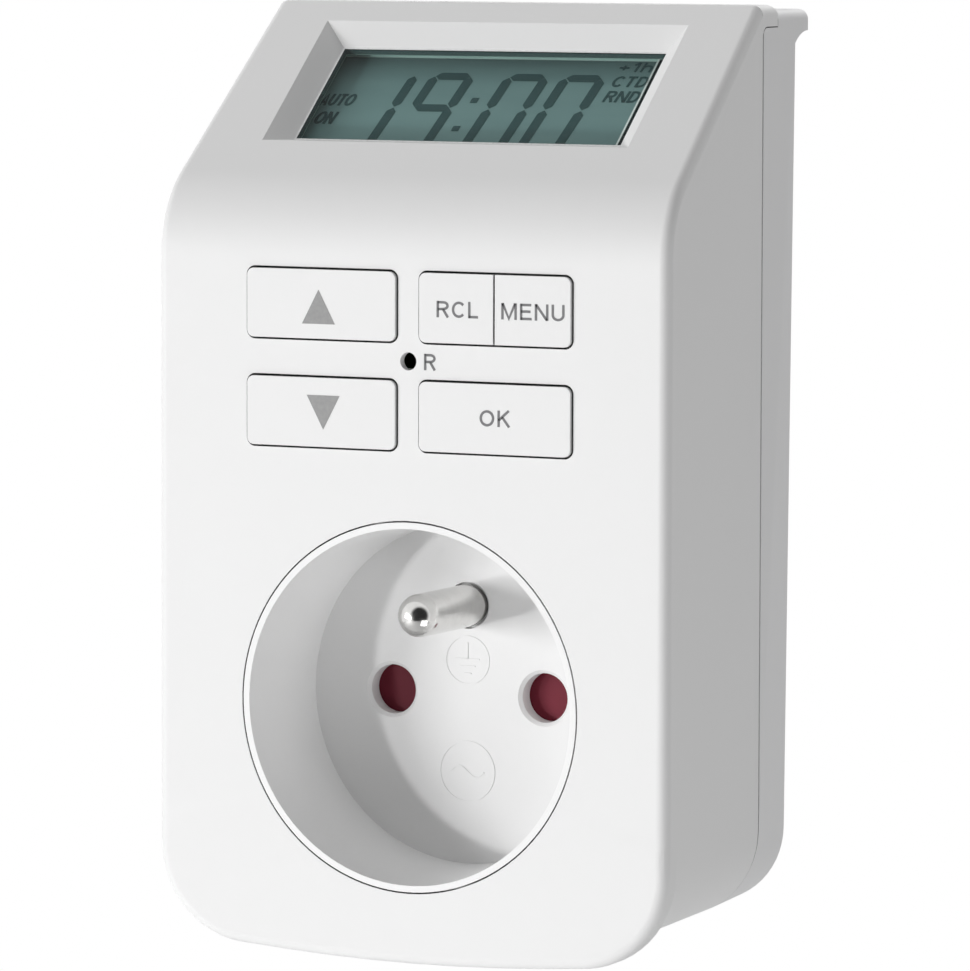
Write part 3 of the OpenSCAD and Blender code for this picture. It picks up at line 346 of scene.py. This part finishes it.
def prism(outlines, place, depth):
    """Thin solids from closed outlines; place(u, v, d) gives a point, d rises from 0 to depth."""
    verts, faces = [], []
    for pts in outlines:
        n, k = len(pts), len(verts)
        for d in (0.0, depth):
            verts += [place(u, v, d) for u, v in pts]
        faces.append(list(range(k, k + n)))
        faces.append(list(range(k + n, k + 2 * n)))
        for i in range(n):
            j = (i + 1) % n
            faces.append([k + i, k + j, k + n + j, k + n + i])
    return verts, faces


def front_place(y):
    """Places outlines in x and z on a plane that faces the user; depth rises out of it."""
    return lambda u, v, d: (u, y - d, v)


def slant_place(h):
    """Places outlines on a plane at height h above the display face."""
    return lambda u, v, d: on_slant(u, v, h + d)


# ---------------------------------------------------------------- lettering from strokes
def arc(cx, cy, rx, ry, a0, a1, n=10):
    """Points of an elliptical arc, angles in degrees."""
    out = []
    for i in range(n + 1):
        a = math.radians(a0 + (a1 - a0) * i / n)
        out.append((cx + rx * math.cos(a), cy + ry * math.sin(a)))
    return out


WEIGHT = 0.155                  # stroke width of a capital one unit high
LETTER_GAP = 0.15
INK_T = 0.00003                 # thickness of printed ink
T = WEIGHT / 2
STEM = [(T, 0), (T, 1)]
GLYPHS = {                      # width and strokes of each character
    "A": (0.68, [[(0.05, 0), (0.34, 0.99), (0.63, 0)], [(0.15, 0.31), (0.53, 0.31)]]),
    "C": (0.70, [arc(0.37, 0.5, 0.31, 0.5 - T, 42, 318, 16)]),
    "D": (0.68, [STEM, [(T, 1 - T), (0.30, 1 - T)] + arc(0.30, 0.5, 0.32, 0.5 - T, 90, -90)
                 + [(0.30, T), (T, T)]]),
    "E": (0.62, [STEM, [(T, 1 - T), (0.60, 1 - T)], [(T, 0.52), (0.56, 0.52)],
                 [(T, T), (0.62, T)]]),
    "K": (0.66, [STEM, [(0.60, 1), (T, 0.40)], [(0.26, 0.60), (0.62, 0)]]),
    "L": (0.54, [STEM, [(T, T), (0.54, T)]]),
    "M": (0.82, [STEM, [(0.76, 0), (0.76, 1)], [(0.09, 0.98), (0.41, 0.05), (0.73, 0.98)]]),
    "N": (0.72, [STEM, [(0.66, 0), (0.66, 1)], [(0.08, 0.97), (0.64, 0.03)]]),
    "O": (0.76, [arc(0.38, 0.5, 0.32, 0.5 - T, 0, 360, 24)]),
    "R": (0.68, [STEM, [(T, 1 - T), (0.38, 1 - T)] + arc(0.38, 0.72, 0.22, 0.28 - T, 90, -90)
                 + [(T, 0.50)], [(0.36, 0.50), (0.62, 0)]]),
    "T": (0.62, [[(0, 1 - T), (0.62, 1 - T)], [(0.31, 0), (0.31, 1 - T)]]),
    "U": (0.70, [[(T, 1), (T, 0.36)] + arc(0.35, 0.36, 0.35 - T, 0.36 - T, 180, 360)
                 + [(0.70 - T, 1)]]),
    "+": (0.50, [[(0, 0.42), (0.5, 0.42)], [(0.25, 0.17), (0.25, 0.67)]]),
    "1": (0.32, [[(0.04, 0.72), (0.25, 0.96)], [(0.25, 0), (0.25, 1)]]),
    "h": (0.54, [STEM, [(T, 0.38)] + arc(0.28, 0.44, 0.21, 0.21, 180, 0) + [(0.49, 0)]]),
}
SAME_POINT = 1e-9
SHARPEST = 0.25                 # limits how far a mitre reaches at a sharp bend


def ribbon(points, width, closed=False):
    """Left and right edge of a stroke of constant width, mitred at its bends."""
    pts = [p for i, p in enumerate(points) if i == 0 or math.dist(p, points[i - 1]) > SAME_POINT]
    if closed:
        pts.pop()
    n = len(pts)
    left, right = [], []
    for i, (x, y) in enumerate(pts):
        ends = []
        if closed or i > 0:
            ends.append((x - pts[i - 1][0], y - pts[i - 1][1]))
        if closed or i < n - 1:
            q = pts[(i + 1) % n]
            ends.append((q[0] - x, q[1] - y))
        normals = []
        for dx, dy in ends:
            k = math.hypot(dx, dy)
            normals.append((-dy / k, dx / k))
        nx = sum(v[0] for v in normals) / len(normals)
        ny = sum(v[1] for v in normals) / len(normals)
        m = max(nx * nx + ny * ny, SHARPEST)
        nx, ny = nx / m * width / 2, ny / m * width / 2
        left.append((x + nx, y + ny))
        right.append((x - nx, y - ny))
    return left, right


def stroke_solid(strokes, width, place, depth):
    """Thin solid of several strokes; place(u, v, d) gives a point, d rises from 0 to depth."""
    verts, faces = [], []
    for pts in strokes:
        closed = math.dist(pts[0], pts[-1]) < SAME_POINT
        left, right = ribbon(pts, width, closed)
        n, k = len(left), len(verts)
        for d in (0.0, depth):
            for a, b in zip(left, right):
                verts += [place(*a, d), place(*b, d)]
        top = 2 * n
        for i in range(n if closed else n - 1):
            a, b = k + 2 * i, k + 2 * ((i + 1) % n)
            faces.append([a, b, b + 1, a + 1])
            faces.append([a + top, a + 1 + top, b + 1 + top, b + top])
            faces.append([a, a + top, b + top, b])
            faces.append([a + 1, b + 1, b + 1 + top, a + 1 + top])
        if not closed:
            for a in (k, k + 2 * (n - 1)):
                faces.append([a, a + 1, a + 1 + top, a + top])
    return verts, faces


def lettering(name, text, x0, x1, z0, cap, place, mat, body, weight=WEIGHT, slope=0.0,
              depth=INK_T):
    """Characters from x0 to x1 on the base line z0, cap high."""
    total = sum(GLYPHS[c][0] for c in text) + LETTER_GAP * (len(text) - 1)
    k = (x1 - x0) / total
    strokes, x = [], x0
    for c in text:
        for pts in GLYPHS[c][1]:
            strokes.append([(x + u * k + v * cap * slope, z0 + v * cap) for u, v in pts])
        x += (GLYPHS[c][0] + LETTER_GAP) * k
    mesh_piece(name, stroke_solid(strokes, weight * cap, place, depth), mat, body)


# ---------------------------------------------------------------- key labels
MARK_W, MARK_H = 0.0041, 0.0038
MARK_PLACES = {                 # middle in x and z, and the way it points
    "up": (-0.01097, 0.0441, 1),
    "down": (-0.01037, 0.0324, -1),
}
CAP = 0.0018                    # height of the labels' capitals
LABELS = {                      # text, left and right end, base line, body, face
    "label_recall": ("RCL", 0.00362, 0.00872, 0.0434, "key_recall", KEY_Y),
    "label_menu": ("MENU", 0.01152, 0.01925, 0.0434, "key_menu", KEY_Y),
    "label_ok": ("OK", 0.00895, 0.01264, 0.0316, "key_ok", KEY_Y),
    "label_reset": ("R", 0.00192, 0.00340, 0.0375, "housing", FRONT_Y),
}


def arrow_head(x, z, way):
    foot, tip = z - way * MARK_H / 2, z + way * MARK_H / 2
    return [(x - MARK_W / 2, foot), (x + MARK_W / 2, foot), (x, tip)]


for key, (x, z, way) in MARK_PLACES.items():
    mesh_piece("mark_" + key, prism([arrow_head(x, z, way)], front_place(KEY_Y), INK_T),
               MAT["mark"], "key_" + key)
for name, (text, x0, x1, z0, body, y) in LABELS.items():
    lettering(name, text, x0, x1, z0, CAP, front_place(y), MAT["label"], body)


# ---------------------------------------------------------------- raised marks in the well
RAISED, RAISED_W = 0.00007, 0.00016       # height and width of their lines
EARTH_SIGN = [[(0, 0.75), (0, 0.05)], [(-0.55, 0.05), (0.55, 0.05)],
              [(-0.36, -0.25), (0.36, -0.25)], [(-0.17, -0.55), (0.17, -0.55)]]
WAVE_SIGN = [[(-0.62 + 0.062 * i, 0.18 * math.sin(math.pi * i / 10)) for i in range(21)]]
RAISED_MARKS = {                # height of the middle, radius, strokes in units of the radius
    "earth_mark": (0.0038, 0.0027, EARTH_SIGN),
    "current_mark": (-0.0088, 0.0034, WAVE_SIGN),
}


def raised_mark(name, cz, r, strokes):
    """Thin ring with a sign in it, moulded on the floor of the well."""
    ring = arc(0, cz, r, r, 0, 360, 48)
    lines = [[(u * r, cz + v * r) for u, v in pts] for pts in strokes]
    mesh_piece(name, stroke_solid([ring] + lines, RAISED_W, front_place(FLOOR_Y), RAISED),
               MAT["floor"], "housing")


for name, (cz, r, strokes) in RAISED_MARKS.items():
    raised_mark(name, cz, r, strokes)


# ---------------------------------------------------------------- display content
SEG_H = LCD_H + 0.00002         # the segments lie just above the glass
SEG_T = 0.00001                 # and are this thick
SEG_W, SEG_GAP = 0.00122, 0.00007         # width of a bar, and the gap at its ends
DIGITS = {"0": "abcdef", "1": "bc", "9": "abcfg"}
MID = 0.0212                    # middle bar of the digits, along the slope
HALF, LOW_HALF = 0.00542, 0.0066          # from there to the upper and the lower bar
DIGIT_W, LEAN = 0.00448, 0.105
CLOCK = (("1", -0.01593), ("9", -0.00886), ("0", 0.00050), ("0", 0.00750))
DOTS = ((-0.00183, 0.0226), (-0.00234, 0.0178))
DOT_R = 0.00045
SIGN_WEIGHT, SIGN_SLOPE = 0.19, 0.14
SIGNS = {                       # text, left and right end, base line along the slope, height
    "display_auto": ("AUTO", -0.02115, -0.01700, 0.02130, 0.0020),
    "display_on": ("ON", -0.02060, -0.01830, 0.01815, 0.0021),
    "display_plus": ("+1h", 0.01396, 0.01800, 0.02786, 0.0016),
    "display_ctd": ("CTD", 0.01400, 0.01820, 0.02530, 0.0018),
    "display_rnd": ("RND", 0.01395, 0.01810, 0.02270, 0.0019),
}


def bar(a, b, w):
    """Pointed bar from a to b."""
    (ax, ay), (bx, by) = a, b
    n = math.hypot(bx - ax, by - ay)
    ux, uy = (bx - ax) / n, (by - ay) / n
    px, py, e = -uy * w / 2, ux * w / 2, w / 2
    return [(ax, ay), (ax + ux * e + px, ay + uy * e + py),
            (bx - ux * e + px, by - uy * e + py), (bx, by),
            (bx - ux * e - px, by - uy * e - py), (ax + ux * e - px, ay + uy * e - py)]


def digit(code, x):
    """Bars of a digit whose middle left corner is at x; the window's edge hides its foot."""
    def p(i, j):
        rise = j * (HALF if j > 0 else LOW_HALF)
        return (x + i * DIGIT_W + rise * LEAN, MID + rise)
    ends = {"a": (p(0, 1), p(1, 1)), "b": (p(1, 1), p(1, 0)), "c": (p(1, 0), p(1, -1)),
            "d": (p(1, -1), p(0, -1)), "e": (p(0, -1), p(0, 0)), "f": (p(0, 0), p(0, 1)),
            "g": (p(0, 0), p(1, 0))}
    out = []
    for k in DIGITS[code]:
        (ax, ay), (bx, by) = ends[k]
        n = math.hypot(bx - ax, by - ay)
        ux, uy = (bx - ax) / n * SEG_GAP, (by - ay) / n * SEG_GAP
        out.append(bar((ax + ux, ay + uy), (bx - ux, by - uy), SEG_W))
    return out


def dot(x, s, r):
    """Slightly leaning square dot."""
    return [(x - r, s - r), (x + r, s - r), (x + r * 1.1, s + r), (x - r * 0.9, s + r)]


clock = [outline for code, x in CLOCK for outline in digit(code, x)]
clock += [dot(x, s, DOT_R) for x, s in DOTS]
mesh_piece("display_digits", prism(clock, slant_place(SEG_H), SEG_T), MAT["segment"], "housing")
for name, (text, x0, x1, s, cap) in SIGNS.items():
    lettering(name, text, x0, x1, s, cap, slant_place(SEG_H), MAT["segment"], "housing",
              SIGN_WEIGHT, SIGN_SLOPE, SEG_T)


# ---------------------------------------------------------------- strips around the window, with painted shade and highlights
def band(name, x0, x1, s0, s1, h0, h1, mat):
    """Thin strip in the frame of the display face."""
    outline = [(x0, s0), (x1, s0), (x1, s1), (x0, s1)]
    mesh_piece(name, prism([outline], slant_place(h0), h1 - h0), MAT[mat], "housing")


BAND_T = 0.00006
# inside the window's edge: a near-black strip, a painted shade below it and a thin painted
# highlight
BANDS = {                       # upper and lower height below the display face, material
    "gasket": (-0.00205, -0.00230, "gasket"),
    "shade": (-0.00230, -0.00290, "shade"),
    "glint": (-0.00291, -0.00298, "line"),
}
INNER_X, INNER_S = OPEN_X - BAND_T, OPEN_S1 - BAND_T
for tag, (h1, h0, mat) in BANDS.items():
    for side, x0, x1, s0, s1 in (("_top", -OPEN_X, OPEN_X, INNER_S, OPEN_S1),
                                 ("_left", -OPEN_X, -INNER_X, OPEN_S0, INNER_S),
                                 ("_right", INNER_X, OPEN_X, OPEN_S0, INNER_S)):
        band(tag + side, x0, x1, s0, s1, h0, h1, mat)
EDGE_S0, EDGE_S1 = 0.0150, 0.0302
EDGE_H0, EDGE_H1 = LCD_H + 0.00001, LCD_H + 0.00003
EDGES = {                       # painted highlight along the display glass's right edge, and a black strip beside it
    "glint_side": (0.01824, 0.01846, "bright"),
    "black_side": (0.01850, 0.01925, "gasket"),
}
for name, (x0, x1, mat) in EDGES.items():
    band(name, x0, x1, EDGE_S0, EDGE_S1, EDGE_H0, EDGE_H1, mat)
LEDGE_W, LEDGE_H, LEDGE_T = 0.00020, -0.00203, 0.00003    # whiter ledge at the bevel's foot, a painted highlight along the window's edge
LEDGE_X = -OPEN_X + LEDGE_W
for side, x0, x1, s0, s1 in (("left", -OPEN_X, LEDGE_X, OPEN_S0, OPEN_S1),
                             ("low", LEDGE_X, OPEN_X, OPEN_S0, OPEN_S0 + LEDGE_W),
                             ("top", LEDGE_X, OPEN_X, OPEN_S1 - LEDGE_W, OPEN_S1)):
    band("ledge_" + side, x0, x1, s0, s1, LEDGE_H, LEDGE_H + LEDGE_T, "ledge")


def shutter_coil():
    """The shutter's spring as a piece of its own, riding on the housing, in place of the hidden
    spring solid.
    """
    solid = NODES["shutter_spring"]
    me = solid.data.copy()
    me.transform(solid.matrix_world)
    ob = bpy.data.objects.new("shutter_coil", me)
    bpy.context.scene.collection.objects.link(ob)
    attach(ob, "housing")
    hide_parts("shutter_spring")
    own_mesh(ob)


bpy.context.view_layer.update()
shutter_coil()


# ---------------------------------------------------------------- smooth shells, softened keys
WELD = 0.000002                 # points closer than this are one
KEY_EDGE = 0.0003               # rounding of the keys' edges


def weld(ob):
    """Joins a solid's facets and drops the sharp edges set between them."""
    ob.data.set_sharp_from_angle(angle=math.radians(180))
    ob.modifiers.new("weld", "WELD").merge_threshold = WELD


def smooth_shell(ob):
    """Keeps a shell's real edges and lets its flats stay flat."""
    weld(ob)
    ob.modifiers.new("edges", "EDGE_SPLIT").split_angle = SHARP
    ob.modifiers.new("normals", "WEIGHTED_NORMAL").keep_sharp = False


def soften(ob, radius):
    """Rounds a solid's edges."""
    weld(ob)
    bev = ob.modifiers.new("bevel", "BEVEL")
    bev.width = radius
    bev.segments = 3
    bev.limit_method = "ANGLE"
    bev.angle_limit = math.radians(40)
    ob.modifiers.new("normals", "WEIGHTED_NORMAL").keep_sharp = True


for name in ("front_shell", "rear_shell"):
    smooth_shell(NODES[name])
for key in KEYS:
    soften(NODES["key_" + key], KEY_EDGE)


# ---------------------------------------------------------------- camera
CAM_ANGLES = (26.2087, 5.0629, 0.15235)   # azimuth, elevation and roll, in degrees
CAM_AT = (0.33902, -0.7218, 0.09119)
FOCAL_PX, PHOTO_W = 6833.97, 970.0        # focal length and width of the photo, in its pixels
SENSOR = 36.0


def camera():
    """Camera at the photo's viewpoint."""
    cam = bpy.data.cameras.new("camera")
    ob = bpy.data.objects.new("camera", cam)
    bpy.context.scene.collection.objects.link(ob)
    az, el, roll = (math.radians(a) for a in CAM_ANGLES)
    forward = Vector((-math.sin(az) * math.cos(el), math.cos(az) * math.cos(el), -math.sin(el)))
    level = Vector((math.cos(az), math.sin(az), 0))
    upright = level.cross(forward)
    right = level * math.cos(roll) + upright * math.sin(roll)
    up = upright * math.cos(roll) - level * math.sin(roll)
    m = Matrix((right, up, -forward)).transposed().to_4x4()
    m.translation = Vector(CAM_AT)
    ob.matrix_world = m
    cam.sensor_width = SENSOR
    cam.sensor_fit = "HORIZONTAL"
    cam.lens = FOCAL_PX * SENSOR / PHOTO_W
    cam.clip_start = 0.01
    cam.clip_end = 20.0
    bpy.context.scene.camera = ob


camera()

# ---------------------------------------------------------------- floor
FLOOR_Z, FLOOR_R, FLOOR_SIDES = -0.60, 1.4, 64


def floor():
    """Pale round floor below the part."""
    me = bpy.data.meshes.new("floor")
    turns = [2 * math.pi * i / FLOOR_SIDES for i in range(FLOOR_SIDES)]
    rim = [(FLOOR_R * math.cos(a), FLOOR_R * math.sin(a), FLOOR_Z) for a in turns]
    me.from_pydata(rim, [], [tuple(range(FLOOR_SIDES))])
    ob = bpy.data.objects.new("floor", me)
    bpy.context.scene.collection.objects.link(ob)
    m, nt, b = new_material("floor_white")
    tint = ramp(nt, noise(nt, 3.0, 2.0), (0.79, 0.79, 0.79), (0.81, 0.81, 0.81))
    fill(nt, b, {"Base Color": tint, "Roughness": 0.9})
    me.materials.append(m)


floor()

# ---------------------------------------------------------------- light
PURE_WHITE = (1, 1, 1, 1)
SKY = 0.31                      # strength of the light from all round
DARK_WAY = (0.44, -0.89, 0.09)  # middle of the studio's dark side, as metal mirrors it
DARK_EDGE = (0.77, 0.60)        # cosines where the dark starts to fade and where it ends
DARK_TONE = (0.03, 1.0)
TARGET = Vector((0, -0.03, 0.02))
LAMPS = {                       # direction from the part, distance, size, power
    "crisp_light": ((-0.48, -0.868, -0.13), 1.6, 0.08, 6.15),
    "key_light": ((-0.705, -0.71, 0.0), 1.6, 0.43, 11.9),
    "fill_light": ((0.66, -0.50, -0.60), 0.5, 0.25, 0.52),
    "top_light": ((-0.10, 0.35, 0.93), 1.0, 0.30, 1.75),
    "rim_light": ((0.10, 0.80, 0.60), 1.0, 0.30, 3.4),
}


def dark_side(nt):
    """Strength of a background that darkens towards one side of the studio."""
    way = add(nt, "TexCoord").outputs["Generated"]
    facing = add(nt, "VectorMath", {0: way, 1: Vector(DARK_WAY).normalized()}, "DOT_PRODUCT")
    return remap(nt, facing.outputs["Value"], DARK_EDGE, DARK_TONE)


def studio():
    """Even light from all round; the camera sees white, and metal mirrors a dark side too."""
    world = bpy.data.worlds[0] if bpy.data.worlds else bpy.data.worlds.new("world")
    bpy.context.scene.world = world
    world.use_nodes = True
    nt = world.node_tree
    sky = fill(nt, nt.nodes["Background"], {"Color": PURE_WHITE, "Strength": SKY})
    surface = sky.outputs["Background"]
    ray = add(nt, "LightPath").outputs
    mirrored = maths(nt, "MAXIMUM", ray["Is Glossy Ray"], ray["Is Transmission Ray"])
    for share, strength in ((mirrored, dark_side(nt)), (ray["Is Camera Ray"], 1.0)):
        shown = add(nt, "Background", {"Color": PURE_WHITE, "Strength": strength})
        surface = mix_shader(nt, share, surface, shown.outputs["Background"])
    fill(nt, nt.nodes["World Output"], {"Surface": surface})


def area_light(name, at, size, power):
    """Square lamp that faces the part."""
    li = bpy.data.lights.new(name, "AREA")
    li.energy = power
    li.size = size
    ob = bpy.data.objects.new(name, li)
    bpy.context.scene.collection.objects.link(ob)
    ob.location = at
    ob.rotation_mode = "QUATERNION"
    ob.rotation_quaternion = (TARGET - at).to_track_quat("-Z", "Y")


studio()
for name, (way, far, size, power) in LAMPS.items():
    area_light(name, TARGET + Vector(way).normalized() * far, size, power)

bpy.context.scene.view_settings.view_transform = "Standard"
